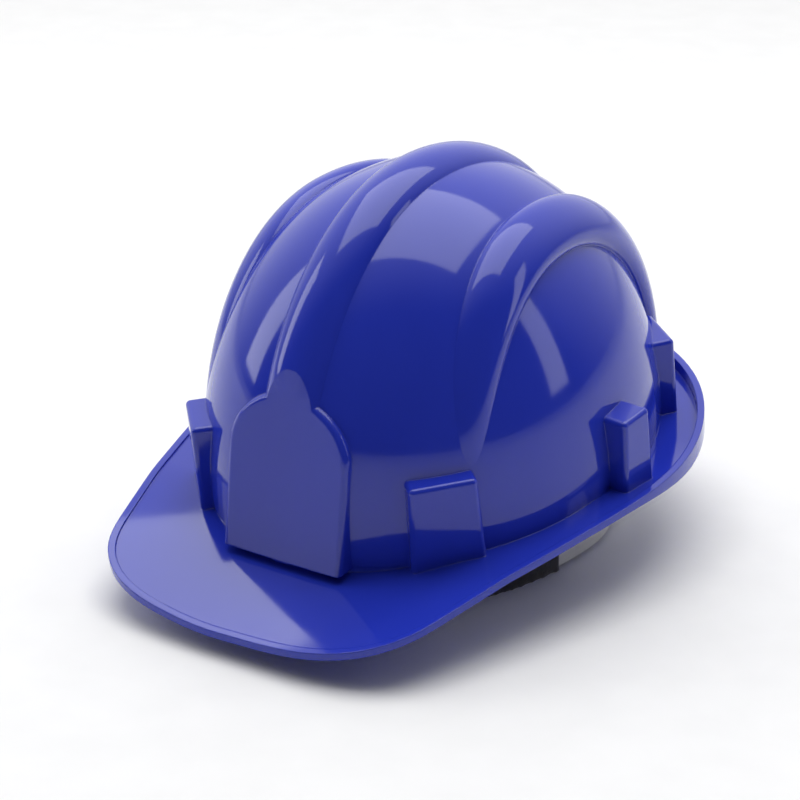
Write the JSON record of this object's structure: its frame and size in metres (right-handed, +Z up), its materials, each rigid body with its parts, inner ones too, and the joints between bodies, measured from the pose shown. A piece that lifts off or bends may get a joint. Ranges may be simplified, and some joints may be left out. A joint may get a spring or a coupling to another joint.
{
  "type": "hard hat",
  "caption": "Ribbed safety helmet shell with a front visor and rain gutter, on a plug-in suspension with crown straps, headband and a knob adjuster at the nape.",
  "frame": {"origin": "middle of the hat's footprint, on the surface that the headband stands on", "axes": "+Z up, the wearer faces -Y, +X is the wearer's left"},
  "size_m": [0.2384, 0.3066, 0.1883],
  "materials": {
    "shell": "high gloss moulded polyethylene, ultramarine blue",
    "band": "satin moulded polyethylene, off-white",
    "sweatband": "black brushed cloth on foam",
    "key": "satin moulded nylon, off-white",
    "webbing": "woven polyester webbing",
    "adjuster": "fine textured black plastic",
    "gear": "natural acetal",
    "steel": "zinc plated"
  },
  "bodies": {
    "hat": {"shell": "shell", "headband": "band", "sweatband": "sweatband", "nape_pad": "sweatband", "front_left_key": "key", "front_right_key": "key", "rear_left_key": "key", "rear_right_key": "key", "hanger_studs": "key", "crown_strap_left": "webbing", "crown_strap_right": "webbing", "crown_patch": "webbing", "adjuster_base": "adjuster", "adjuster_cover": "adjuster", "cover_screws": "steel"},
    "knob": {"knob": "adjuster", "pinion": "gear", "pawl_disc": "gear", "knob_screw": "steel"},
    "left_strap": {"nape_strap_left": "band"},
    "right_strap": {"nape_strap_right": "band"}
  },
  "joints": [
    {"name": "knob_turn", "type": "hinge", "parent": "hat", "child": "knob", "pos_m": [0, 0.1185, 0.02], "axis": [0, 1, 0], "range_deg": [-200, 200]},
    {"name": "left_strap_slide", "type": "hinge", "parent": "hat", "child": "left_strap", "pos_m": [0, 0.0285, 0.02], "axis": [0, 0, 1], "range_deg": [-16, 16]},
    {"name": "right_strap_slide", "type": "hinge", "parent": "hat", "child": "right_strap", "pos_m": [0, 0.0285, 0.02], "axis": [0, 0, 1], "range_deg": [-16, 16]}
  ],
  "couplings": [
    {"joint": "left_strap_slide", "follows": "knob_turn", "ratio": -0.076336},
    {"joint": "right_strap_slide", "follows": "knob_turn", "ratio": 0.07472}
  ]
}
